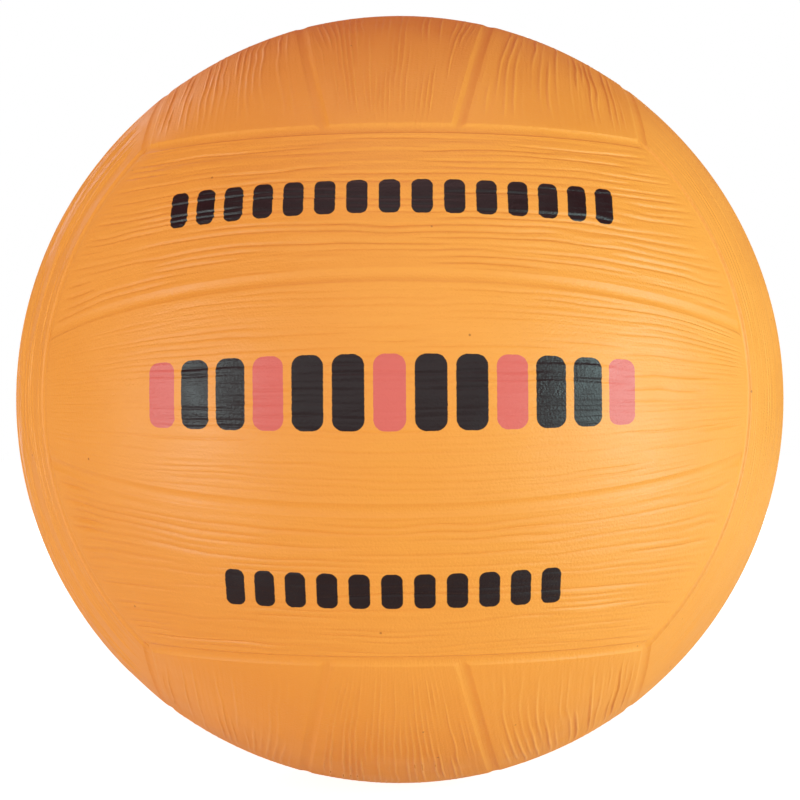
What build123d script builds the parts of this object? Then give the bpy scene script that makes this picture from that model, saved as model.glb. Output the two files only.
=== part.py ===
from build123d import *
import os
from math import asin, cos, radians, sin, sqrt

# Water polo ball: a moulded rubber cover of eighteen strips over a wound, air-filled bladder.
# Millimetres, origin at the ball's centre, +Z up, front face towards -Y, valve towards +Y.

# Ball and cover
ball_diameter = 220.0
panel_thickness = 1.25
middle_strip_half_angle = 14.15  # degrees from a face's centre line to the seam beside it
channel_width = 3.3
channel_depth = 0.5
butt_gap = 0.1  # between two panels, along the bottom of a channel

# Layers under the cover, from the outside in
bond_gap = 0.1  # film of cement between two layers
carcass_thickness = 0.35
winding_thickness = 0.45
bladder_thickness = 0.7

# Valve core: a headed plug with a blind needle passage
core_stem_diameter = 6.5
core_stem_length = 13.0
core_head_diameter = 8.2
core_head_thickness = 1.4
core_recess = 0.4  # from the ball's surface down to the core's outer end
core_tip_chamfer = 0.8
needle_bore_diameter = 2.3
needle_funnel_diameter = 3.8
needle_funnel_depth = 0.5
needle_lips_thickness = 2.0  # closed lips at the inner end of the needle passage

# Valve boot: a flanged tube in the bladder that holds the core
core_clearance = 0.15  # between the core and the boot, all round
boot_neck_wall = 0.85
boot_neck_recess = 0.25  # from the ball's surface down to the neck's outer end
boot_boss_wall = 3.2
boot_boss_fillet = 1.5
boot_flange_diameter = 28.0
boot_flange_thickness = 1.2
boot_overhang = 0.6  # boss beyond the core's inner end
valve_hole_clearance = 0.1  # between the neck and the layers that it passes through

# Radii worked out from the layers
ball_radius = ball_diameter / 2
panel_inner_radius = ball_radius - panel_thickness
carcass_outer_radius = panel_inner_radius - bond_gap
carcass_inner_radius = carcass_outer_radius - carcass_thickness
winding_outer_radius = carcass_inner_radius - bond_gap
winding_inner_radius = winding_outer_radius - winding_thickness
bladder_outer_radius = winding_inner_radius - bond_gap
bladder_inner_radius = bladder_outer_radius - bladder_thickness
flange_outer_radius = bladder_inner_radius - bond_gap
flange_inner_radius = flange_outer_radius - boot_flange_thickness

# Seams, all cut towards the centre: three faces meet on each diagonal of a cube, so a face ends at this latitude
corner_latitude = asin(1 / sqrt(3))
seam_tilt = radians(middle_strip_half_angle)
half_gap_angle = butt_gap / 2 / ball_radius

# Channel section: an arc through both lips and the channel's bottom
lip_half_width = channel_width / 2
lip_rise = sqrt(ball_radius**2 - lip_half_width**2) - (ball_radius - channel_depth)
channel_arc_radius = (lip_half_width**2 + lip_rise**2) / (2 * lip_rise)
channel_arc_distance = ball_radius - channel_depth + channel_arc_radius
corner_channel_radius = channel_arc_distance * cos(corner_latitude)
corner_channel_height = channel_arc_distance * sin(corner_latitude)

# Valve radii and heights along the valve's axis, measured from the ball's centre
stem_radius = core_stem_diameter / 2
head_radius = core_head_diameter / 2
needle_radius = needle_bore_diameter / 2
funnel_radius = needle_funnel_diameter / 2
stem_hole_radius = stem_radius + core_clearance
head_hole_radius = head_radius + core_clearance
neck_radius = head_hole_radius + boot_neck_wall
boss_radius = stem_hole_radius + boot_boss_wall
valve_hole_radius = neck_radius + valve_hole_clearance
flange_radius = boot_flange_diameter / 2
core_top = ball_radius - core_recess
core_seat = core_top - core_head_thickness
core_bottom = core_seat - core_stem_length
needle_bottom = core_bottom + needle_lips_thickness
neck_top = ball_radius - boot_neck_recess
boss_bottom = core_bottom - boot_overhang

os.makedirs("parts", exist_ok=True)


# Cone about Z with its point at the ball's centre, holding all that lies above the latitude
def seam_cone(latitude):
    rim_radius = ball_diameter * cos(latitude)
    rim_height = ball_diameter * sin(latitude)
    with BuildPart() as cone:
        with BuildSketch(Plane.XZ):
            with BuildLine():
                Polyline((0, 0), (rim_radius, rim_height), (0, rim_height), close=True)
            make_face()
        revolve(axis=Axis.Z)
    return cone.part


# Plane through X and the ball's centre, leaning from the crown towards +Y or, with side -1, towards -Y
def inner_seam_plane(side, tilt):
    return Plane((0, 0, 0), x_dir=(1, 0, 0), z_dir=(0, side * cos(tilt), -sin(tilt)))


# Thin spherical shell with a round hole for the valve's neck
def layer(outer_radius, inner_radius):
    with BuildPart() as shell:
        Sphere(outer_radius)
        Sphere(inner_radius, mode=Mode.SUBTRACT)
        with Locations(valve_plane):
            Cylinder(
                valve_hole_radius,
                ball_radius,
                align=(Align.CENTER, Align.CENTER, Align.MIN),
                mode=Mode.SUBTRACT,
            )
    return shell


valve_plane = Plane((0, 0, 0), x_dir=(-1, 0, 0), z_dir=(0, 1, 0))
long_edge_plane = Plane((0, 0, 0), x_dir=(1, 0, 0), z_dir=(0, 1, 0))
end_cone = seam_cone(corner_latitude + half_gap_angle)
long_edge_cone = seam_cone(corner_latitude - half_gap_angle)

# Ring of cover rubber around X, from which the strips on the crown are cut
with BuildPart() as cover_ring:
    with BuildSketch(Plane.XZ):
        Circle(ball_radius)
        Circle(panel_inner_radius, mode=Mode.SUBTRACT)
        with Locations((0, -ball_radius)):
            Rectangle(ball_diameter, ball_radius, mode=Mode.INTERSECT)
    revolve(axis=Axis.X)

# Middle strip on the crown, along X, with half a channel along each of its four edges
with BuildPart() as middle_strip:
    add(cover_ring.part)
    for side in (1, -1):
        split(bisect_by=inner_seam_plane(side, seam_tilt - half_gap_angle), keep=Keep.BOTTOM)
    add(end_cone, mode=Mode.INTERSECT)
    for side in (1, -1):
        with Locations(inner_seam_plane(side, seam_tilt)):
            Torus(channel_arc_distance, channel_arc_radius, mode=Mode.SUBTRACT)
    with Locations((0, 0, corner_channel_height)):
        Torus(corner_channel_radius, channel_arc_radius, mode=Mode.SUBTRACT)

# Outer strip beside it, towards +Y, from the seam to the face's long edge
with BuildPart() as outer_strip:
    add(cover_ring.part)
    split(bisect_by=inner_seam_plane(1, seam_tilt + half_gap_angle), keep=Keep.TOP)
    add(end_cone, mode=Mode.INTERSECT)
    with Locations(long_edge_plane):
        add(long_edge_cone, mode=Mode.SUBTRACT)
    with Locations(inner_seam_plane(1, seam_tilt)):
        Torus(channel_arc_distance, channel_arc_radius, mode=Mode.SUBTRACT)
    with Locations((0, 0, corner_channel_height)):
        Torus(corner_channel_radius, channel_arc_radius, mode=Mode.SUBTRACT)
    with Locations(long_edge_plane.offset(corner_channel_height)):
        Torus(corner_channel_radius, channel_arc_radius, mode=Mode.SUBTRACT)

# Six faces: length of the strips, outward direction, and the names of the two outer strips
faces = {
    "front": ((1, 0, 0), (0, -1, 0), "upper", "lower"),
    "back": ((-1, 0, 0), (0, 1, 0), "upper", "lower"),
    "left": ((0, 0, -1), (-1, 0, 0), "front", "rear"),
    "right": ((0, 0, 1), (1, 0, 0), "front", "rear"),
    "top": ((0, 1, 0), (0, 0, 1), "left", "right"),
    "bottom": ((0, -1, 0), (0, 0, -1), "left", "right"),
}

for face, (strip_direction, outward, first_side, second_side) in faces.items():
    face_plane = Plane((0, 0, 0), x_dir=strip_direction, z_dir=outward)
    with BuildPart(face_plane) as first_panel:
        add(outer_strip.part)
    with BuildPart(face_plane) as middle_panel:
        add(middle_strip.part)
        if face == "back":
            with Locations((0, 0, ball_radius)):
                Hole(valve_hole_radius)
    with BuildPart(face_plane) as second_panel:
        add(outer_strip.part, rotation=(0, 0, 180))
    for side, panel in ((first_side, first_panel), ("middle", middle_panel), (second_side, second_panel)):
        panel.part.label = f"{face}_{side}_panel"
        export_step(panel.part, f"parts/{panel.part.label}.step")

# Rubber skin that the panels are bonded to
rubber_carcass = layer(carcass_outer_radius, carcass_inner_radius)
rubber_carcass.part.label = "rubber_carcass"
export_step(rubber_carcass.part, "parts/rubber_carcass.step")

# Wound nylon thread, as one even layer
nylon_winding = layer(winding_outer_radius, winding_inner_radius)
nylon_winding.part.label = "nylon_winding"
export_step(nylon_winding.part, "parts/nylon_winding.step")

# Air bladder
bladder = layer(bladder_outer_radius, bladder_inner_radius)
bladder.part.label = "bladder"
export_step(bladder.part, "parts/bladder.step")

# Valve boot: a flange under the bladder, a boss into the air space and a neck out through the cover
with BuildPart() as valve_boot:
    with Locations(valve_plane):
        Cylinder(flange_radius, ball_radius, align=(Align.CENTER, Align.CENTER, Align.MIN))
    Sphere(flange_outer_radius, mode=Mode.INTERSECT)
    Sphere(flange_inner_radius, mode=Mode.SUBTRACT)
    with Locations(valve_plane.offset(boss_bottom)):
        Cylinder(
            boss_radius,
            flange_inner_radius + boot_flange_thickness / 2 - boss_bottom,
            align=(Align.CENTER, Align.CENTER, Align.MIN),
        )
    boss_root = valve_boot.edges().filter_by(GeomType.CIRCLE).sort_by(Axis.Y)
    fillet(boss_root.filter_by(lambda edge: abs(edge.radius - boss_radius) < butt_gap)[-1], boot_boss_fillet)
    with Locations(valve_plane.offset(flange_inner_radius)):
        Cylinder(
            neck_radius,
            neck_top - flange_inner_radius,
            align=(Align.CENTER, Align.CENTER, Align.MIN),
        )
    with Locations(valve_plane.offset(neck_top)):
        CounterBoreHole(stem_hole_radius, head_hole_radius, neck_top - core_seat)
valve_boot.part.label = "valve_boot"
export_step(valve_boot.part, "parts/valve_boot.step")

# Valve core: a plug whose head sits in the boot's neck, turned about the valve's axis
with BuildPart() as valve_core:
    with BuildSketch(Plane.YZ):
        with BuildLine():
            Polyline(
                (core_bottom, 0),
                (core_bottom, stem_radius - core_tip_chamfer),
                (core_bottom + core_tip_chamfer, stem_radius),
                (core_seat, stem_radius),
                (core_seat, head_radius),
                (core_top, head_radius),
                (core_top, funnel_radius),
                (core_top - needle_funnel_depth, needle_radius),
                (needle_bottom, needle_radius),
                (needle_bottom, 0),
                close=True,
            )
        make_face()
    revolve(axis=Axis.Y)
valve_core.part.label = "valve_core"
export_step(valve_core.part, "parts/valve_core.step")
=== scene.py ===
from math import acos, asin, atan2, cos, pi, radians, sin, sqrt

import bmesh
import bpy
import numpy as np
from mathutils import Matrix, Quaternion, Vector


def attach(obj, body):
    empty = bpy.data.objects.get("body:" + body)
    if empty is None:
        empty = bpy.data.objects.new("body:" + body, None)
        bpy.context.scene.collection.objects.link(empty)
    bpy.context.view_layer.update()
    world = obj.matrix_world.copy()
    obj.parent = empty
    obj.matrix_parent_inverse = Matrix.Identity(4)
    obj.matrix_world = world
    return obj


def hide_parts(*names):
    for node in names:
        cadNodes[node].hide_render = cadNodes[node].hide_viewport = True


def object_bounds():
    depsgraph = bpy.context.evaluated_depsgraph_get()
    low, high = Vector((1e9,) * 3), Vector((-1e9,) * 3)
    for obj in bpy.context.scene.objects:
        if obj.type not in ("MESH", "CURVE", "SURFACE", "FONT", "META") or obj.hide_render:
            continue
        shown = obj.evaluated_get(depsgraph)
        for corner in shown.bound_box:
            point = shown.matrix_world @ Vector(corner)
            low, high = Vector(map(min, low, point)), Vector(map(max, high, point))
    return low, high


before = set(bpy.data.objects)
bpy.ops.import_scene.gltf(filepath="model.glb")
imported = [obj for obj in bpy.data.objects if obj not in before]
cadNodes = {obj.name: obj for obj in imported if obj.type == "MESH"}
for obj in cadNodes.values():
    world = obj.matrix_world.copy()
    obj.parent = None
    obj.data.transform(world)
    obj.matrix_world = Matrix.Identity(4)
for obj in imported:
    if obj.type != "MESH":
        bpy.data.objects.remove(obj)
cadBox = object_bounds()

ballRadius = cadBox[1].z
print("frame loaded:", len(cadNodes), "nodes, ball radius", round(ballRadius, 4))


# small node helpers: a source is a socket to link or a plain value to set
def addNode(tree, kind, **settings):
    made = tree.nodes.new("ShaderNode" + kind)
    for name, value in settings.items():
        setattr(made, name, value)
    return made


def feed(tree, socket, source):
    if isinstance(source, bpy.types.NodeSocket):
        tree.links.new(source, socket)
    else:
        socket.default_value = source


def calc(tree, operation, first, second=0.0, third=0.0):
    made = addNode(tree, "Math", operation=operation)
    for socket, source in zip(made.inputs, (first, second, third)):
        feed(tree, socket, source)
    return made.outputs[0]


def remap(tree, value, low, high, toLow, toHigh):
    made = addNode(tree, "MapRange", interpolation_type="SMOOTHSTEP")
    for socket, source in zip(made.inputs, (value, low, high, toLow, toHigh)):
        feed(tree, socket, source)
    return made.outputs[0]


# a Mix node has its own sockets for colours and for plain values
def tint(tree, factor, first, second):
    made = addNode(tree, "Mix", data_type="RGBA")
    for index, source in ((0, factor), (6, first), (7, second)):
        feed(tree, made.inputs[index], source)
    return made.outputs[2]


def blend(tree, factor, first, second):
    made = addNode(tree, "Mix", data_type="FLOAT")
    for index, source in ((0, factor), (2, first), (3, second)):
        feed(tree, made.inputs[index], source)
    return made.outputs[0]


def stretch(tree, coords, factors):
    made = addNode(tree, "VectorMath", operation="MULTIPLY")
    feed(tree, made.inputs[0], coords)
    feed(tree, made.inputs[1], factors)
    return made.outputs[0]


def cloud(tree, coords, scale, detail):
    made = addNode(tree, "TexNoise")
    feed(tree, made.inputs["Vector"], coords)
    made.inputs["Scale"].default_value = scale
    made.inputs["Detail"].default_value = detail
    return made.outputs["Fac"]


def emboss(tree, height, distance, strength, under=None):
    made = addNode(tree, "Bump")
    made.inputs["Strength"].default_value = strength
    made.inputs["Distance"].default_value = distance
    feed(tree, made.inputs["Height"], height)
    if under is not None:
        feed(tree, made.inputs["Normal"], under)
    return made.outputs[0]


def newMaterial(name):
    material = bpy.data.materials.new(name)
    material.use_nodes = True
    tree = material.node_tree
    return material, tree, tree.nodes["Principled BSDF"]


# camera: a short tele lens just below the ball's middle, as in the photograph
camera = {
    "azimuth": 1.2,
    "elevation": -0.84,
    "roll": -0.38,
    "distance": 4.2 * ballRadius,
    "lens": 70.45,
    "sensor": 36.0,
    "shift": (0.0002, -0.0006),
    "clipStart": 0.01,
}


def around(azimuth, elevation):
    turn, rise = radians(azimuth), radians(elevation)
    return Vector((sin(turn) * cos(rise), -cos(turn) * cos(rise), sin(rise)))


cameraData = bpy.data.cameras.new("photoCamera")
cameraData.lens = camera["lens"]
cameraData.sensor_width = camera["sensor"]
cameraData.shift_x, cameraData.shift_y = camera["shift"]
cameraData.clip_start = camera["clipStart"]
cameraObject = bpy.data.objects.new("photoCamera", cameraData)
bpy.context.scene.collection.objects.link(cameraObject)
towardsCamera = around(camera["azimuth"], camera["elevation"])
cameraObject.location = towardsCamera * camera["distance"]
cameraObject.rotation_mode = "QUATERNION"
cameraObject.rotation_quaternion = (
    Quaternion(towardsCamera, radians(camera["roll"])) @ (-towardsCamera).to_track_quat("-Z", "Y")
)
bpy.context.scene.camera = cameraObject
print("camera placed")


# cover: eighteen moulded rubber strips, three to a face, with a shallow channel along every seam
cover = {
    "wall": 0.00125,
    "middleHalfAngle": radians(14.15),  # from a face's centre line to the seam beside it
    "endAngle": 0.93,  # from a strip's middle to about its ends
    "sharpAngle": 1.0,  # edges that fold less are shaded smooth
    "uvPerMetre": 4,
    "firstSeed": 100,
    "seedStep": 10,
}
# grid of a flat strip
grid = {
    "columns": 140,
    "middleRows": 244,
    "outerRows": 190,
    "halfLength": 0.95,  # of a strip, in ball radii
    "finestStep": 0.00018,  # between grid lines near a seam
    "columnStep": 0.0021,
    "rowStep": 0.00026,
    "fineReach": 0.6,  # from a seam, in channel widths
    "fineFade": 1.5,
    "samples": 4000,
    "innerRings": 5,  # loops of faces across the hidden inner side
    "innerReach": 0.72,  # how far along the strip the innermost ring goes, as an angle
    "mergeDistance": 1e-6,
}
# channels: reaches along a strip are in half widths, those about the waist in ball radii
channel = {
    "width": 0.0033,
    "depth": 0.0005,
    "skew": 0.30,  # how far inside a strip's long edge the deepest line lies, in half widths
    "lipSoftness": 0.00002,
    "cornerRounding": 0.3,  # where two lips meet
    "endBlend": 4,  # reach of an end seam's depth into the seams that meet it
    "waistReach": 0.45,
    "waistBlend": 0.2,
    "waistLoss": 0.45,  # share of the depth that a shallow channel loses
}
# wrinkles: sizes across a line are in spacings, shares along a strip in half lengths
wrinkle = {
    "length": 0.024,
    "spacing": 0.0017,
    "valleyDepth": 0.00015,
    "ridgeHeight": 0.00016,
    "rippleDepth": 0.00010,
    "swellDepth": 0.00005,
    "valleySway": 0.7,
    "ridgeSway": 0.6,
    "broadSway": 0.9,  # shares of the sway
    "shortSway": 0.35,
    "valleyHalf": 0.32,
    "ridgeHalf": 0.25,
    "lineFade": (-0.5, 0.4),  # hill heights between which a line comes and goes along its length
    "patchFade": (-0.6, 0.4),
    "leastCrease": 0.4,  # what is left between the patches
    "leastRipple": 0.5,
    "calmRipple": 0.3,  # ripples among ridges
    "endBlend": (0.45, 0.85),  # from the strength in the middle to that at an end
    "crownReach": (0.28, 0.48),
    "crowding": (0.75, 0.6),  # of ridges, at the inner seam and added up to the long edge
    "middleCrowding": 0.4,  # place of a middle strip between those two
    "valleyFade": (0.7, 2.0),  # from a side seam, in half widths of a channel
    "ridgeFade": (0.7, 4.0),
    "endFade": (1, 7),
}
# random hills behind the wrinkles: size along in lengths, size across in spacings, and seed
hillSizes = {
    "broadSway": (1.5, 6, 0),
    "shortSway": (0.4, 2.5, 5),
    "ripple": (0.7, 0.6, 4),
    "patches": (1, 4, 2),
    "swell": (1.6, 2.3, 3),
}
lineSeed = 6  # for the fading of single lines
# what differs from face to face: wrinkles at the first end, in the middle and at the second end of its strips,
# spacing of thin raised ridges where it has those instead, share of them left on the strips' crown,
# how deep the channels are along each kind of seam, and which of them grow shallow about the ball's waist
faceShares = {
    "front": {"wrinkles": (1.8, 1.5, 1.8), "ridges": 0, "crown": 1.0,
              "inner": 1.0, "long": 1.0, "ends": (0.7, 1.35), "shallow": None},
    "back": {"wrinkles": (1.6, 1.3, 1.6), "ridges": 0, "crown": 1.0,
             "inner": 1.0, "long": 1.0, "ends": (1.35, 0.7), "shallow": None},
    "left": {"wrinkles": (1.7, 1.7, 1.7), "ridges": 1.05, "crown": 1.0,
             "inner": 1.0, "long": 0.7, "ends": (0.8, 0.8), "shallow": "ends"},
    "right": {"wrinkles": (0.85, 0.85, 0.85), "ridges": 0, "crown": 1.0,
              "inner": 1.0, "long": 1.35, "ends": (0.8, 0.8), "shallow": "ends"},
    "top": {"wrinkles": (1.0, 2.2, 1.0), "ridges": 1.05, "crown": 0.16,
            "inner": 0.8, "long": 0.8, "ends": (1.0, 1.0), "shallow": "sides"},
    "bottom": {"wrinkles": (1.0, 2.3, 1.0), "ridges": 1.05, "crown": 0.16,
               "inner": 0.8, "long": 0.8, "ends": (1.0, 1.0), "shallow": "sides"},
}
# strips that are wrinkled in their own way
stripWrinkles = {
    "front_upper_panel": (2.5, 2.6, 1.7),
    "front_middle_panel": (0.45, 1.25, 1.3),
    "front_lower_panel": (5.4, 1.9, 2.4),
    "top_middle_panel": (1.3, 1.7, 1.3),
    "top_right_panel": (1.3, 2.2, 1.3),
    "bottom_left_panel": (0.6, 1.9, 0.6),
    "bottom_right_panel": (1.3, 2.4, 1.3),
}
# each face: direction along its strips, outward direction, names of the outer strips
faces = {
    "front": ((1, 0, 0), (0, -1, 0), "upper", "lower"),
    "back": ((-1, 0, 0), (0, 1, 0), "upper", "lower"),
    "left": ((0, 0, -1), (-1, 0, 0), "front", "rear"),
    "right": ((0, 0, 1), (1, 0, 0), "front", "rear"),
    "top": ((0, 1, 0), (0, 0, 1), "left", "right"),
    "bottom": ((0, -1, 0), (0, 0, -1), "left", "right"),
}
cornerSine = 1 / sqrt(3)  # three faces meet on a cube's diagonal
cornerLatitude = asin(cornerSine)
innerSeam = cover["middleHalfAngle"]


# grid lines from -1 to 1, crowded near both ends, where the channels are
def gradedLines(count, halfLength, coarsest):
    inward = np.linspace(0, halfLength, grid["samples"])
    past = np.maximum(inward - grid["fineReach"] * channel["width"], 0) / (grid["fineFade"] * channel["width"])
    step = coarsest - (coarsest - grid["finestStep"]) * np.exp(-past**2)
    passed = np.concatenate(([0], np.cumsum(np.diff(inward) / step[1:])))
    half = np.interp(np.linspace(0, passed[-1], count // 2 + 1), passed, inward)
    left = half / halfLength - 1
    return np.concatenate((left, -left[-2::-1]))


# angle along the strip at which its end seam cuts the line at this share of its width, by halving
def outerEnd(share):
    low, high = cornerLatitude, acos(cornerSine / cos(innerSeam))
    for _ in range(40):
        middle = (low + high) / 2
        across = innerSeam + share * (asin(min(1, cornerSine / cos(middle))) - innerSeam)
        if cos(middle) * cos(across) > cornerSine:
            low = middle
        else:
            high = middle
    return low


# flat strip with its unrolled outline: x along, y across, z up out of the wall
def flatStrip(outer):
    rows = grid["outerRows"] if outer else grid["middleRows"]
    bm = bmesh.new()
    bmesh.ops.create_grid(bm, x_segments=grid["columns"], y_segments=rows, size=1)
    column = bm.verts.layers.float.new("column")
    halfWidth = (cornerLatitude - innerSeam) / 2 if outer else innerSeam
    columnLines = gradedLines(grid["columns"], grid["halfLength"] * ballRadius, grid["columnStep"])
    rowLines = gradedLines(rows, halfWidth * ballRadius, grid["rowStep"])
    evenColumns = np.linspace(-1, 1, len(columnLines))
    evenRows = np.linspace(-1, 1, len(rowLines))
    ends = {}
    for vert in bm.verts:
        along = float(np.interp(vert.co.x, evenColumns, columnLines))
        width = float(np.interp(vert.co.y, evenRows, rowLines))
        row = round(vert.co.y, 6)
        if outer:
            share = (width + 1) / 2
            if row not in ends:
                ends[row] = outerEnd(share)
            theta = along * ends[row]
            edge = asin(min(1, cornerSine / cos(theta)))
            tau = innerSeam + share * (edge - innerSeam)
        else:
            tau = width * innerSeam
            theta = along * acos(cornerSine / cos(tau))
        vert[column] = along
        vert.co = (theta * ballRadius, tau * ballRadius, 0)
    return bm


# wall and inner side: the rim goes down, then in rings towards the strip's centre line
def wallStrip(bm, outer):
    column = bm.verts.layers.float["column"]
    loop = [e for e in bm.edges if e.is_boundary]
    centre = (innerSeam + cornerLatitude) / 2 if outer else 0
    for ring in range(grid["innerRings"] + 1):
        made = bmesh.ops.extrude_edge_only(bm, edges=loop)["geom"]
        loop = [e for e in made if isinstance(e, bmesh.types.BMEdge) and e.is_boundary]
        step = 1 / (grid["innerRings"] + 1 - ring) if ring else 0
        for vert in made:
            if isinstance(vert, bmesh.types.BMVert):
                aim = Vector((grid["innerReach"] * vert[column], centre, 0)) * ballRadius
                vert.co += step * (aim - vert.co)
                vert.co.z = -cover["wall"]
    low = [v for v in bm.verts if v.co.z < 0]
    bmesh.ops.remove_doubles(bm, verts=low, dist=grid["mergeDistance"])


# valve hole in the back strip: the grid gives way to rings that end in a rounded lip
valveHole = {
    "gridRadius": 0.0085,
    "rings": ((0.0074, 0), (0.0064, 0), (0.0058, -0.00003), (0.0055, -0.00010),
              (0.00532, -0.00024), (0.0052, -0.00048)),  # radius and height
    "evenRing": 3,  # from this ring on the points are evenly spread
}


def openValveHole(bm):
    gridRadius = valveHole["gridRadius"]
    inside = [v for v in bm.verts if v.co.xy.length < gridRadius]
    bmesh.ops.delete(bm, geom=inside, context="VERTS")
    near = 2 * gridRadius
    loop = [e for e in bm.edges if e.is_boundary and all(v.co.xy.length < near for v in e.verts)]
    verts = sorted({v for e in loop for v in e.verts}, key=lambda v: atan2(v.co.y, v.co.x))
    angles = [atan2(v.co.y, v.co.x) for v in verts]
    evenAngles = [-pi + 2 * pi * (i + 0.5) / len(verts) for i in range(len(verts))]
    for vert, angle in zip(verts, angles):
        vert.co.x = gridRadius * cos(angle)
        vert.co.y = gridRadius * sin(angle)
    for number, (radius, height) in enumerate(valveHole["rings"], 1):
        made = bmesh.ops.extrude_edge_only(bm, edges=loop)["geom"]
        fresh = [v for v in made if isinstance(v, bmesh.types.BMVert)]
        loop = [e for e in made if isinstance(e, bmesh.types.BMEdge) and e.is_boundary]
        fresh.sort(key=lambda v: atan2(v.co.y, v.co.x))
        even = min(1, number / valveHole["evenRing"])
        for vert, angle, evenAngle in zip(fresh, angles, evenAngles):
            turned = angle + even * (evenAngle - angle)
            vert.co = (radius * cos(turned), radius * sin(turned), height)
    made = bmesh.ops.extrude_face_region(bm, geom=bm.faces[:], use_keep_orig=True)["geom"]
    for vert in made:
        if isinstance(vert, bmesh.types.BMVert):
            vert.co.z = -cover["wall"]


# shades all but the sharp edges smooth and turns the bmesh into a mesh
def smoothMesh(bm, name, sharpAngle):
    for edge in bm.edges:
        edge.smooth = edge.calc_face_angle(0) < sharpAngle
    for face in bm.faces:
        face.smooth = True
    mesh = bpy.data.meshes.new(name)
    bm.to_mesh(mesh)
    bm.free()
    return mesh


# closed mesh that all strips of one kind start from
def stripMesh(bm, name):
    bmesh.ops.recalc_face_normals(bm, faces=bm.faces)
    return smoothMesh(bm, name, cover["sharpAngle"])


outerStrip = flatStrip(True)
wallStrip(outerStrip, True)
outerFlat = stripMesh(outerStrip, "outerFlat")
middleStrip = flatStrip(False)
wallStrip(middleStrip, False)
middleFlat = stripMesh(middleStrip, "middleFlat")
backStrip = flatStrip(False)
openValveHole(backStrip)
backFlat = stripMesh(backStrip, "backFlat")
print("flat strips:", len(outerFlat.polygons), len(middleFlat.polygons), len(backFlat.polygons), "faces")


def smooth(value, low, high):
    share = np.clip((value - low) / (high - low), 0, 1)
    return share * share * (3 - 2 * share)


# even random hills between -1 and 1, one per unit, the same on every run
def hills(x, y, seed):
    size = 97
    heights = np.random.default_rng(seed).uniform(-1, 1, (size, size))
    column, row = np.floor(x).astype(int), np.floor(y).astype(int)
    across, up = smooth(x - column, 0, 1), smooth(y - row, 0, 1)
    left, right = column % size, (column + 1) % size
    low, high = row % size, (row + 1) % size
    below = heights[left, low] * (1 - across) + heights[right, low] * across
    above = heights[left, high] * (1 - across) + heights[right, high] * across
    return below * (1 - up) + above * up


def sizedHills(kind, along, across, spacing, seed):
    longer, wider, extraSeed = hillSizes[kind]
    return hills(along / (longer * wrinkle["length"]), across / (wider * spacing), seed + extraSeed)


# wrinkles that run along a strip: valleys among finer ripples, or thin raised ridges on a calm skin;
# returns a depth, how deep in a valley it is and how high on a ridge
def wrinkles(along, across, endShare, edge, seed, strengths, shares):
    ridges, crown = shares["ridges"], shares["crown"]
    spacing = wrinkle["spacing"] * (ridges or 1)
    sway = spacing * (wrinkle["ridgeSway"] if ridges else wrinkle["valleySway"])
    for kind in ("broadSway", "shortSway"):
        across = across + wrinkle[kind] * sway * sizedHills(kind, along, across, spacing, seed)
    row = np.round(across / spacing)
    beside = np.abs(across / spacing - row)
    fades = smooth(hills(along / wrinkle["length"], row, seed + lineSeed), *wrinkle["lineFade"])
    ripple = 0.5 + 0.5 * sizedHills("ripple", along, across, spacing, seed)
    first, middle, second = strengths
    gain = middle + (first - middle) * smooth(-endShare, *wrinkle["endBlend"])
    gain += (second - middle) * smooth(endShare, *wrinkle["endBlend"])
    if ridges:
        atInner, towardsEdge = wrinkle["crowding"]
        gain *= atInner + towardsEdge * edge
        height = gain * (crown + (1 - crown) * smooth(np.abs(endShare), *wrinkle["crownReach"]))
        ridge = smooth(wrinkle["ridgeHalf"] - beside, 0, wrinkle["ridgeHalf"]) * fades
        depth = wrinkle["ridgeHeight"] * (1 - ridge) + wrinkle["calmRipple"] * wrinkle["rippleDepth"] * ripple
        return height * depth, np.zeros_like(gain), gain * ridge
    patches = smooth(sizedHills("patches", along, across, spacing, seed), *wrinkle["patchFade"])
    swell = 0.5 + 0.5 * sizedHills("swell", along, across, spacing, seed)
    crease = smooth(wrinkle["valleyHalf"] - beside, 0, wrinkle["valleyHalf"]) * fades
    depth = wrinkle["valleyDepth"] * crease
    depth *= wrinkle["leastCrease"] + (1 - wrinkle["leastCrease"]) * patches
    patchyRipple = wrinkle["leastRipple"] + (1 - wrinkle["leastRipple"]) * patches
    depth += wrinkle["rippleDepth"] * ripple * patchyRipple + wrinkle["swellDepth"] * swell
    return gain * depth, gain * crease, np.zeros_like(gain)


# distance from a point of a strip to each of its seams
def seamDistances(p, outer):
    lean = p[:, 1] * cos(innerSeam) - p[:, 2] * sin(innerSeam)
    end = np.arcsin(p[:, 2]) - cornerLatitude
    if outer:
        sides = {"inner": np.arcsin(lean), "long": cornerLatitude - np.arcsin(p[:, 1]), "end": end}
    else:
        other = -p[:, 1] * cos(innerSeam) - p[:, 2] * sin(innerSeam)
        sides = {"inner": np.minimum(np.arcsin(-lean), np.arcsin(-other)), "end": end}
    return {side: ballRadius * np.maximum(angle, 0) for side, angle in sides.items()}


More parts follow.
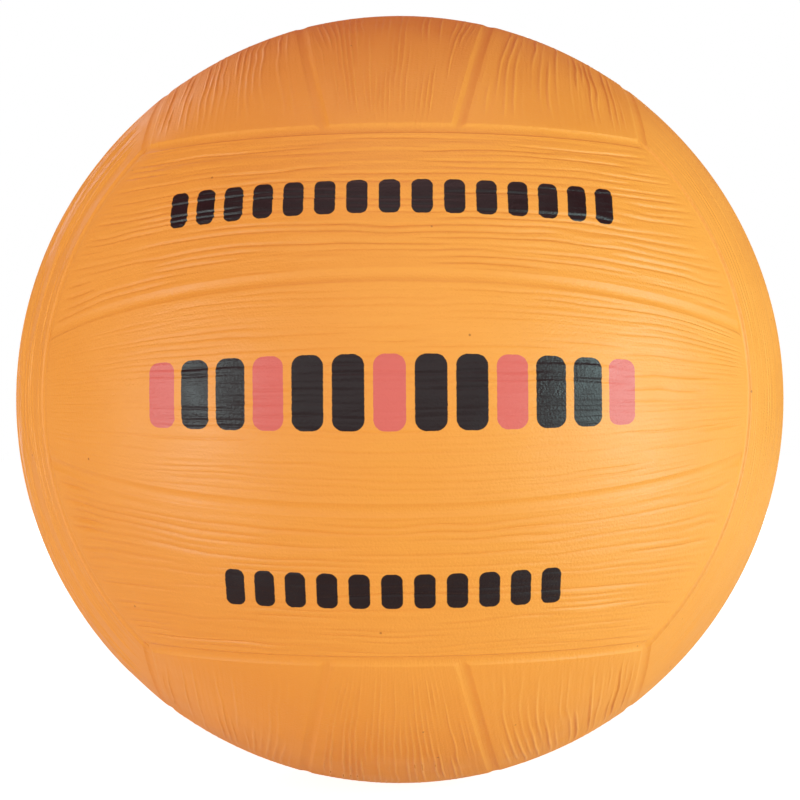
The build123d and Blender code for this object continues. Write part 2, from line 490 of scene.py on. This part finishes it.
# channel along the seams: a bowl, and between two faces a skewed one, steep on the side of a strip's long edge;
# waist is the distance from the plane of the ball's waist
def channelBowl(seams, endShare, waist, shares):
    half, skew = channel["width"] / 2, channel["skew"]
    waistDepth = 1 - channel["waistLoss"] * smooth(channel["waistReach"] - waist, 0, channel["waistBlend"])
    endDepth = np.where(endShare < 0, *shares["ends"]) * (waistDepth if shares["shallow"] == "ends" else 1)
    sideDepth = waistDepth if shares["shallow"] == "sides" else 1
    fromEnd = smooth(seams["end"], 0, channel["endBlend"] * half)
    innerDepth = endDepth + (shares["inner"] * sideDepth - endDepth) * fromEnd
    bowls = [innerDepth * (1 - (seams["inner"] / half) ** 2)]
    bowls.append(endDepth * (1 - ((skew + seams["end"] / half) / (1 + skew)) ** 3))
    if "long" in seams:
        out = seams["long"] / half - skew
        rise = np.where(out < 0, -out / (1 + skew), out / (1 - skew)) ** 3
        bowls.append(shares["long"] * sideDepth * (1 - rise))
    bowl = bowls[0]
    for other in bowls[1:]:
        bowl = 0.5 * (bowl + other + np.sqrt((bowl - other) ** 2 + channel["cornerRounding"] ** 2))
    bowl = channel["depth"] * bowl
    return 0.5 * (bowl + np.sqrt(bowl**2 + channel["lipSoftness"] ** 2))


# rolls a flat strip onto the ball, presses the channels and wrinkles in, and lays its UV map
def rollStrip(flat, name, axes, outer, turned, seed, shares):
    mesh = flat.copy()
    mesh.name = name
    flatPoints = np.empty(len(mesh.vertices) * 3, np.float32)
    mesh.vertices.foreach_get("co", flatPoints)
    flatPoints = flatPoints.reshape(-1, 3).astype(float)
    theta, tau = flatPoints[:, 0] / ballRadius, flatPoints[:, 1] / ballRadius
    p = np.stack((np.sin(theta), np.cos(theta) * np.sin(tau), np.cos(theta) * np.cos(tau)), axis=1)
    if outer:
        longEdge = np.arcsin(np.minimum(1, cornerSine / np.cos(theta)))
        width = (tau - innerSeam) / (longEdge - innerSeam)
        across = (width - 0.5) * (cornerLatitude - innerSeam) * ballRadius
    else:
        width = np.full(len(tau), wrinkle["middleCrowding"])
        across = tau * ballRadius
    along = theta * ballRadius
    seams = seamDistances(p, outer)
    endShare = theta / (-cover["endAngle"] if turned else cover["endAngle"])
    strengths = stripWrinkles.get(name, shares["wrinkles"])
    depth, crease, ridge = wrinkles(along, across, endShare, width, seed, strengths, shares)
    # wrinkles fade out towards the seams
    sides = np.min([seams[side] for side in seams if side != "end"], axis=0)
    half = channel["width"] / 2
    fadeFrom, fadeTo = wrinkle["ridgeFade"] if shares["ridges"] else wrinkle["valleyFade"]
    endFrom, endTo = wrinkle["endFade"]
    onTop = smooth(sides, fadeFrom * half, fadeTo * half) * smooth(seams["end"], endFrom * half, endTo * half)
    if turned:
        p = p * (-1, -1, 1)
    placed = p @ np.array(axes, float)
    pressed = channelBowl(seams, endShare, np.abs(placed[:, 1]), shares) + onTop * depth
    outside = flatPoints[:, 2] > -0.9 * cover["wall"]  # all but the hidden inner side
    radius = ballRadius + flatPoints[:, 2] - np.where(outside, pressed, 0)
    mesh.vertices.foreach_set("co", (placed * radius[:, None]).astype(np.float32).ravel())
    # masks for the colour: painted shade in the folds, and on the ridges a painted highlight and a lower
    # roughness
    for attribute, share in (("foldShadeMask", crease), ("ridge", ridge)):
        layer = mesh.attributes.new(attribute, "FLOAT", "POINT")
        layer.data.foreach_set("value", np.clip(onTop * share, 0, 1).astype(np.float32))
    loops = np.empty(len(mesh.loops), np.int32)
    mesh.loops.foreach_get("vertex_index", loops)
    unrolled = 0.5 + cover["uvPerMetre"] * np.stack((along, across), axis=1)
    stripMap = mesh.uv_layers.new(name="strip")
    stripMap.data.foreach_set("uv", unrolled[loops].astype(np.float32).ravel())
    mesh.update()
    return mesh


# cover rubber: matte orange with a fine grain, hair lines along the strip, a few dark specks, painted shade in
# the folds and a painted highlight on the ridges;
# a scale is that of a noise, a relief is a height and a strength
coverRubber = {
    "orange": (0.738, 0.304, 0.043, 1),
    "paleOrange": (0.756, 0.320, 0.048, 1),
    "paleScale": 22,
    "paleRange": (0.35, 0.65),
    # painted shade: a darker orange in the folds of the wrinkles
    "foldShadeOrange": (0.65, 0.210, 0.022, 1),
    "foldShadeShare": 0.14,
    # painted highlight: a paler orange on the ridge tops
    "ridgeHighlightOrange": (0.80, 0.375, 0.072, 1),
    "ridgeHighlightShare": 0.3,
    "speck": (0.28, 0.075, 0.012, 1),
    "speckScale": 95,
    "speckRadius": (0.020, 0.042),
    "speckFrom": 0.60,  # cells that draw more than this have a speck
    "speckShare": 0.75,
    "roughness": (0.39, 0.51),
    "roughScale": 60,
    "ridgePolish": 0.12,
    "specular": 0.34,
    "hairStretch": (10, 240, 1),
    "hairRelief": (0.00016, 0.9),
    "grainScale": 1700,
    "grainRelief": (0.00016, 0.65),
    "black": (0.010, 0.005, 0.005, 1),
    "coral": (0.60, 0.128, 0.100, 1),
    "inkRoughness": (0.30, 0.42),
    "inkScale": 160,
    "inkEdge": 0.00008,
    "inkWobble": 0.0002,
    "wobbleScale": 900,
}
roughRange = (0.3, 0.7)  # noise values that a roughness is spread over
# plain rows of beads, like a lane rope, printed on the front strips
smallBead = {"pitch": 0.0076, "bead": (0.0050, 0.0092), "corner": 0.0018, "coralEvery": 0}
largeBead = {"pitch": 0.0094, "bead": (0.0074, 0.0176), "corner": 0.0027, "coralEvery": 3}
beadRows = {
    "front_upper_panel": {"count": 15, **smallBead},
    "front_middle_panel": {"count": 13, **largeBead},
    "front_lower_panel": {"count": 11, **smallBead},
}


# masks of one printed row: all its ink, and which of it is coral
def printBeads(tree, along, across, row):
    place = calc(tree, "MULTIPLY_ADD", along, 1 / row["pitch"], row["count"] / 2)
    number = calc(tree, "FLOOR", place)
    local = calc(tree, "MULTIPLY_ADD", calc(tree, "FRACT", place), row["pitch"], -row["pitch"] / 2)
    beyond = []
    for coordinate, size in zip((local, across), row["bead"]):
        past = calc(tree, "SUBTRACT", calc(tree, "ABSOLUTE", coordinate), size / 2 - row["corner"])
        beyond.append(calc(tree, "MAXIMUM", past, 0.0))
    square = calc(tree, "MULTIPLY", beyond[0], beyond[0])
    far = calc(tree, "SQRT", calc(tree, "MULTIPLY_ADD", beyond[1], beyond[1], square))
    inkEdge = coverRubber["inkEdge"]
    ink = remap(tree, far, row["corner"] - inkEdge, row["corner"] + inkEdge, 1.0, 0.0)
    inRow = calc(tree, "LESS_THAN", calc(tree, "ABSOLUTE", along), row["count"] * row["pitch"] / 2)
    ink = calc(tree, "MULTIPLY", ink, inRow)
    if not row["coralEvery"]:
        return ink, 0.0
    return ink, calc(tree, "LESS_THAN", calc(tree, "MODULO", number, row["coralEvery"]), 0.5)


def makeCoverRubber(name, row=None):
    material, tree, shader = newMaterial(name)
    coords = addNode(tree, "TexCoord").outputs["Object"]
    strip = addNode(tree, "UVMap", uv_map="strip").outputs["UV"]
    parts = addNode(tree, "SeparateXYZ")
    feed(tree, parts.inputs[0], strip)
    metres = 1 / cover["uvPerMetre"]
    along = calc(tree, "MULTIPLY_ADD", parts.outputs[0], metres, -0.5 * metres)
    across = calc(tree, "MULTIPLY_ADD", parts.outputs[1], metres, -0.5 * metres)
    foldShadeMask = addNode(tree, "Attribute", attribute_name="foldShadeMask").outputs["Fac"]
    ridge = addNode(tree, "Attribute", attribute_name="ridge").outputs["Fac"]
    # colour: broad clouds, painted shade in the folds, a painted highlight on the ridges, sparse specks
    broad = cloud(tree, coords, coverRubber["paleScale"], 3)
    broad = remap(tree, broad, *coverRubber["paleRange"], 0.0, 1.0)
    colour = tint(tree, broad, coverRubber["orange"], coverRubber["paleOrange"])
    # painted shade darkens the folds of the wrinkles
    foldShade = calc(tree, "MULTIPLY", foldShadeMask, coverRubber["foldShadeShare"])
    colour = tint(tree, foldShade, colour, coverRubber["foldShadeOrange"])
    # painted highlight lightens the ridge tops
    ridgeHighlight = calc(tree, "MULTIPLY", ridge, coverRubber["ridgeHighlightShare"])
    colour = tint(tree, ridgeHighlight, colour, coverRubber["ridgeHighlightOrange"])
    cells = addNode(tree, "TexVoronoi")
    feed(tree, cells.inputs["Vector"], coords)
    cells.inputs["Scale"].default_value = coverRubber["speckScale"]
    pick = addNode(tree, "SeparateColor")
    feed(tree, pick.inputs[0], cells.outputs["Color"])
    dot = remap(tree, cells.outputs["Distance"], *coverRubber["speckRadius"], 1.0, 0.0)
    dot = calc(tree, "MULTIPLY", dot, calc(tree, "GREATER_THAN", pick.outputs[0], coverRubber["speckFrom"]))
    colour = tint(tree, calc(tree, "MULTIPLY", dot, coverRubber["speckShare"]), colour, coverRubber["speck"])
    roughness = cloud(tree, coords, coverRubber["roughScale"], 3)
    roughness = remap(tree, roughness, *roughRange, *coverRubber["roughness"])
    roughness = calc(tree, "MULTIPLY_ADD", ridge, -coverRubber["ridgePolish"], roughness)
    if row:
        wobble = cloud(tree, coords, coverRubber["wobbleScale"], 2)
        wobble = calc(tree, "MULTIPLY_ADD", wobble, coverRubber["inkWobble"], -coverRubber["inkWobble"] / 2)
        along, across = calc(tree, "ADD", along, wobble), calc(tree, "ADD", across, wobble)
        ink, coral = printBeads(tree, along, across, row)
        inkColour = coverRubber["black"]
        if row["coralEvery"]:
            inkColour = tint(tree, coral, coverRubber["black"], coverRubber["coral"])
        colour = tint(tree, ink, colour, inkColour)
        gloss = cloud(tree, coords, coverRubber["inkScale"], 3)
        gloss = remap(tree, gloss, *roughRange, *coverRubber["inkRoughness"])
        roughness = blend(tree, ink, roughness, gloss)
    # relief: hair lines along the strip under a fine even grain
    hair = cloud(tree, stretch(tree, strip, coverRubber["hairStretch"]), 1.0, 3)
    relief = emboss(tree, hair, *coverRubber["hairRelief"])
    grain = cloud(tree, coords, coverRubber["grainScale"], 2)
    relief = emboss(tree, grain, *coverRubber["grainRelief"], relief)
    feed(tree, shader.inputs["Base Color"], colour)
    feed(tree, shader.inputs["Roughness"], roughness)
    feed(tree, shader.inputs["Normal"], relief)
    shader.inputs["Specular IOR Level"].default_value = coverRubber["specular"]
    return material


plainRubber = makeCoverRubber("coverRubber")
panelMaterials = {}
for panel, row in beadRows.items():
    side = panel.split("_")[1].capitalize()
    panelMaterials[panel] = makeCoverRubber("printedRubber" + side, row)


def addPiece(name, mesh, material, body, slot, *replaced):
    piece = bpy.data.objects.new(name, mesh)
    bpy.context.scene.collection.objects.link(piece)
    mesh.materials.clear()
    mesh.materials.append(material)
    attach(piece, body)
    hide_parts(*replaced)


seed = cover["firstSeed"]
for face, (stripDirection, outward, firstSide, secondSide) in faces.items():
    lengthAxis, outAxis = Vector(stripDirection), Vector(outward)
    axes = (lengthAxis, outAxis.cross(lengthAxis), outAxis)
    for side, outer, turned in ((firstSide, True, False), ("middle", False, False), (secondSide, True, True)):
        node = f"{face}_{side}_panel"
        flat = outerFlat if outer else backFlat if face == "back" else middleFlat
        mesh = rollStrip(flat, node, axes, outer, turned, seed, faceShares[face])
        pieceName = face + side.capitalize() + "Strip"
        addPiece(pieceName, mesh, panelMaterials.get(node, plainRubber), "ball", "cover", node)
        seed += cover["seedStep"]
for flat in (outerFlat, middleFlat, backFlat):
    bpy.data.meshes.remove(flat)
print("cover strips rolled on")


# turned pieces: a profile of (radius, height) spun about the valve's axis, its rims rounded
turning = {
    "steps": 72,
    "mergeDistance": 1e-7,
    "tolerance": 1e-6,
    "rimSegments": 3,
    "sharpAngle": 0.6,
}


def turnedMesh(name, profile, rims, rimRadius):
    bm = bmesh.new()
    verts = [bm.verts.new((r, y, 0)) for r, y in profile]
    edges = [bm.edges.new(pair) for pair in zip(verts, verts[1:])]
    bmesh.ops.spin(bm, geom=verts + edges, cent=(0, 0, 0), axis=(0, 1, 0), dvec=(0, 0, 0),
                   angle=2 * pi, steps=turning["steps"], use_merge=True, use_duplicate=False)
    bmesh.ops.remove_doubles(bm, verts=bm.verts, dist=turning["mergeDistance"])
    bmesh.ops.recalc_face_normals(bm, faces=bm.faces)
    near = turning["tolerance"]
    sharp = []
    for edge in bm.edges:
        ends = [(Vector((v.co.x, v.co.z)).length, v.co.y) for v in edge.verts]
        for radius, height in rims:
            if all(abs(r - radius) < near and abs(y - height) < near for r, y in ends):
                sharp.append(edge)
    bmesh.ops.bevel(bm, geom=sharp, offset=rimRadius, affect="EDGES", segments=turning["rimSegments"],
                    profile=0.5, material=-1, clamp_overlap=True)
    return smoothMesh(bm, name, turning["sharpAngle"])


# valve core: a headed plug with a blind needle passage
core = {
    "stemRadius": 0.00325,
    "headRadius": 0.0041,
    "top": 0.1096,
    "seat": 0.1082,
    "bottom": 0.0952,
    "tipChamfer": 0.0008,
    "needleRadius": 0.00115,
    "funnelRadius": 0.0019,
    "funnelDepth": 0.0005,
    "needleBottom": 0.0972,
    "rim": 0.00025,
}
coreProfile = (
    (0, core["bottom"]),
    (core["stemRadius"] - core["tipChamfer"], core["bottom"]),
    (core["stemRadius"], core["bottom"] + core["tipChamfer"]),
    (core["stemRadius"], core["seat"]),
    (core["headRadius"], core["seat"]),
    (core["headRadius"], core["top"]),
    (core["funnelRadius"], core["top"]),
    (core["needleRadius"], core["top"] - core["funnelDepth"]),
    (core["needleRadius"], core["needleBottom"]),
    (0, core["needleBottom"]),
)
coreRims = coreProfile[4:7]  # both edges of the head, and the funnel's
coreMesh = turnedMesh("valveCore", coreProfile, coreRims, core["rim"])

# valve boot: a flange under the bladder, a boss into the air space and a neck out to the cover
boot = {
    "neckRadius": 0.0051,
    "neckTop": 0.10975,
    "headHoleRadius": 0.00425,
    "stemHoleRadius": 0.0034,
    "bossRadius": 0.0066,
    "bossBottom": 0.0946,
    "bossFillet": 0.0015,
    "filletShare": 0.3,  # both ways from the corner to the fillet's middle
    "flangeRadius": 0.014,
    "flangeOuter": 0.10685,
    "flangeInner": 0.10565,
    "outerMiddle": 0.010,  # a point half way along each side of the flange
    "innerMiddle": 0.011,
    "rim": 0.00022,
}


def onSphere(sphereRadius, radius):
    return radius, sqrt(sphereRadius**2 - radius**2)


filletEnd = onSphere(boot["flangeInner"], boot["bossRadius"] + boot["bossFillet"])
filletStep = boot["filletShare"] * boot["bossFillet"]
bootProfile = (
    (boot["headHoleRadius"], boot["neckTop"]),
    (boot["neckRadius"], boot["neckTop"]),
    onSphere(boot["flangeOuter"], boot["neckRadius"]),
    onSphere(boot["flangeOuter"], boot["outerMiddle"]),
    onSphere(boot["flangeOuter"], boot["flangeRadius"]),
    onSphere(boot["flangeInner"], boot["flangeRadius"]),
    onSphere(boot["flangeInner"], boot["innerMiddle"]),
    filletEnd,
    (boot["bossRadius"] + filletStep, filletEnd[1] - filletStep),
    (boot["bossRadius"], filletEnd[1] - boot["bossFillet"]),
    (boot["bossRadius"], boot["bossBottom"]),
    (boot["stemHoleRadius"], boot["bossBottom"]),
    (boot["stemHoleRadius"], core["seat"]),
    (boot["headHoleRadius"], core["seat"]),
    (boot["headHoleRadius"], boot["neckTop"]),
)
bootRims = (bootProfile[0], bootProfile[1], bootProfile[10])  # both edges of the mouth, and the boss's
bootMesh = turnedMesh("valveBoot", bootProfile, bootRims, boot["rim"])


# moulded rubber of the valve and the inner layers: a fine grain and a dusty bloom
mouldedRubber = {
    "bloomScale": 420,
    "bloomRange": (0.42, 0.7),
    "roughScale": 700,
    "grainRelief": (0.00002, 0.5),
    "specular": 0.4,
}


def makeMouldedRubber(name, dark, dusty, roughness, grain):
    material, tree, shader = newMaterial(name)
    coords = addNode(tree, "TexCoord").outputs["Object"]
    bloom = cloud(tree, coords, mouldedRubber["bloomScale"], 4)
    bloom = remap(tree, bloom, *mouldedRubber["bloomRange"], 0.0, 1.0)
    feed(tree, shader.inputs["Base Color"], tint(tree, bloom, dark, dusty))
    rough = cloud(tree, coords, mouldedRubber["roughScale"], 3)
    feed(tree, shader.inputs["Roughness"], remap(tree, rough, *roughRange, *roughness))
    relief = emboss(tree, cloud(tree, coords, grain, 2), *mouldedRubber["grainRelief"])
    feed(tree, shader.inputs["Normal"], relief)
    shader.inputs["Specular IOR Level"].default_value = mouldedRubber["specular"]
    return material


bootRubber = makeMouldedRubber("valveBootRubber", dark=(0.020, 0.019, 0.018, 1),
                               dusty=(0.05, 0.047, 0.043, 1), roughness=(0.5, 0.68), grain=3200)
coreRubber = makeMouldedRubber("valveCoreRubber", dark=(0.042, 0.041, 0.040, 1),
                               dusty=(0.085, 0.082, 0.078, 1), roughness=(0.38, 0.55), grain=4200)
addPiece("valveBoot", bootMesh, bootRubber, "ball", "valve", "valve_boot")
addPiece("valveCore", coreMesh, coreRubber, "valve_core", "core", "valve_core")
print("valve turned")


# layers under the cover keep their CAD shape
carcassRubber = makeMouldedRubber("carcassRubber", dark=(0.085, 0.042, 0.020, 1),
                                  dusty=(0.15, 0.08, 0.042, 1), roughness=(0.6, 0.8), grain=900)
bladderRubber = makeMouldedRubber("bladderRubber", dark=(0.008, 0.008, 0.008, 1),
                                  dusty=(0.03, 0.03, 0.031, 1), roughness=(0.35, 0.6), grain=1200)
winding = {
    "thread": (0.74, 0.70, 0.60, 1),
    "gap": (0.33, 0.29, 0.22, 1),
    "threadsPerMetre": 210,
    "turns": ((0.4, 0.2, 0.1), (1.3, 0.9, 0.5), (2.2, 0.3, 1.4)),
    "distortion": 1.5,
    "detailScale": 2.0,
    "roughness": (0.75, 0.5),  # in the gaps and on the thread
    "relief": (0.0002, 0.6),
}


# wound thread: three sets of parallel threads, each turned against the others
def makeWoundThread():
    material, tree, shader = newMaterial("woundThread")
    coords = addNode(tree, "TexCoord").outputs["Object"]
    layers = []
    for turn in winding["turns"]:
        mapping = addNode(tree, "Mapping")
        feed(tree, mapping.inputs["Vector"], coords)
        mapping.inputs["Rotation"].default_value = turn
        bands = addNode(tree, "TexWave", wave_type="BANDS", bands_direction="X")
        feed(tree, bands.inputs["Vector"], mapping.outputs[0])
        bands.inputs["Scale"].default_value = winding["threadsPerMetre"] / 10 * pi
        bands.inputs["Distortion"].default_value = winding["distortion"]
        bands.inputs["Detail Scale"].default_value = winding["detailScale"]
        layers.append(bands.outputs["Fac"])
    height = calc(tree, "MAXIMUM", calc(tree, "MAXIMUM", layers[0], layers[1]), layers[2])
    feed(tree, shader.inputs["Base Color"], tint(tree, height, winding["gap"], winding["thread"]))
    feed(tree, shader.inputs["Roughness"], remap(tree, height, 0.0, 1.0, *winding["roughness"]))
    feed(tree, shader.inputs["Normal"], emboss(tree, height, *winding["relief"]))
    return material


innerLayers = {
    "rubber_carcass": carcassRubber,
    "nylon_winding": makeWoundThread(),
    "bladder": bladderRubber,
}
for node, material in innerLayers.items():
    cadNodes[node].data.materials.clear()
    cadNodes[node].data.materials.append(material)
print("inner layers finished")


# stage: a floor and a surround that are white to the camera and give the ball a warm light
stage = {
    "floorHalf": 4.0,
    "floorSegments": 8,
    "floorColour": (0.65, 0.65, 0.65, 1),
    "floorRoughness": 0.9,
    "floorGlow": (0.88, 1.0),  # near the ball, and far off where no lamp reaches
    "glowReach": (0.25, 0.9),
    "floorBounce": (0.17, 0.014, 0.012, 1),  # what the floor gives back to the underside of the ball
    "surround": (0.30, 0.010, 0.030, 1),
    "white": (1, 1, 1, 1),
    "glossShare": 0.08,  # how much of the white surround a glossy ray sees
}


def seenRay(tree):
    rays = addNode(tree, "LightPath").outputs
    gloss = calc(tree, "MULTIPLY", rays["Is Glossy Ray"], stage["glossShare"])
    seen = calc(tree, "MAXIMUM", rays["Is Camera Ray"], gloss)
    return calc(tree, "MAXIMUM", seen, rays["Is Transmission Ray"])


floorBm = bmesh.new()
bmesh.ops.create_grid(floorBm, x_segments=stage["floorSegments"], y_segments=stage["floorSegments"],
                      size=stage["floorHalf"])
bmesh.ops.translate(floorBm, verts=floorBm.verts, vec=(0, 0, -ballRadius))
floorMesh = bpy.data.meshes.new("floor")
floorBm.to_mesh(floorMesh)
floorBm.free()
floor = bpy.data.objects.new("floor", floorMesh)
floor.visible_shadow = False  # the lamps reach the underside too
bpy.context.scene.collection.objects.link(floor)
floorPaint, tree, shader = newMaterial("floorPaint")
shader.inputs["Base Color"].default_value = stage["floorColour"]
shader.inputs["Roughness"].default_value = stage["floorRoughness"]
shader.inputs["Specular IOR Level"].default_value = 0.0
away = addNode(tree, "VectorMath", operation="LENGTH")
feed(tree, away.inputs[0], addNode(tree, "TexCoord").outputs["Object"])
glow = remap(tree, away.outputs["Value"], *stage["glowReach"], *stage["floorGlow"])
bounced = addNode(tree, "LightPath").outputs["Is Diffuse Ray"]
glow = calc(tree, "MAXIMUM", calc(tree, "MULTIPLY", seenRay(tree), glow), bounced)
feed(tree, shader.inputs["Emission Strength"], glow)
feed(tree, shader.inputs["Emission Color"], tint(tree, bounced, stage["white"], stage["floorBounce"]))
floorMesh.materials.append(floorPaint)

world = bpy.data.worlds.new("studio")
bpy.context.scene.world = world
world.use_nodes = True
tree = world.node_tree
background = tree.nodes["Background"]
feed(tree, background.inputs["Color"], tint(tree, seenRay(tree), stage["surround"], stage["white"]))
background.inputs["Strength"].default_value = 1.0

# lamps: a soft box on each side of the camera, the right one stronger, a wide one behind the camera,
# one overhead, a strip behind the ball on the left and a soft box straight behind it
lamps = {
    "rightBox": {"azimuth": 65, "elevation": -5, "distance": 1.0, "size": (0.7, 0.8),
                 "watts": 13.0, "red": 0.67},
    "leftBox": {"azimuth": -55, "elevation": -6, "distance": 1.0, "size": (0.45, 0.7),
                "watts": 6.8, "red": 0.78},
    "frontWall": {"azimuth": -4, "elevation": 6, "distance": 1.2, "size": (1.5, 1.5),
                  "watts": 7.2, "red": 0.82},
    "overhead": {"azimuth": 0, "elevation": 75, "distance": 1.2, "size": (1.2, 1.2),
                 "watts": 3.4, "red": 1.3},
    "leftStrip": {"azimuth": -145, "elevation": 0, "distance": 1.0, "size": (0.2, 1.8),
                  "watts": 2.0, "red": 0.95},
    "rearBox": {"azimuth": 178, "elevation": 8, "distance": 1.4, "size": (0.6, 0.6),
                "watts": 9.0, "red": 0.80},
}
for name, lamp in lamps.items():
    lampData = bpy.data.lights.new(name, "AREA")
    lampData.shape = "RECTANGLE"
    lampData.size, lampData.size_y = lamp["size"]
    lampData.energy = lamp["watts"]
    lampData.color = (lamp["red"], 1.0, 1.0)
    lampObject = bpy.data.objects.new(name, lampData)
    bpy.context.scene.collection.objects.link(lampObject)
    towardsLamp = around(lamp["azimuth"], lamp["elevation"])
    lampObject.location = towardsLamp * lamp["distance"]
    lampObject.rotation_mode = "QUATERNION"
    lampObject.rotation_quaternion = (-towardsLamp).to_track_quat("-Z", "Y")
    lampObject.visible_camera = False
bpy.context.scene.view_settings.view_transform = "Standard"
print("stage and lamps set")
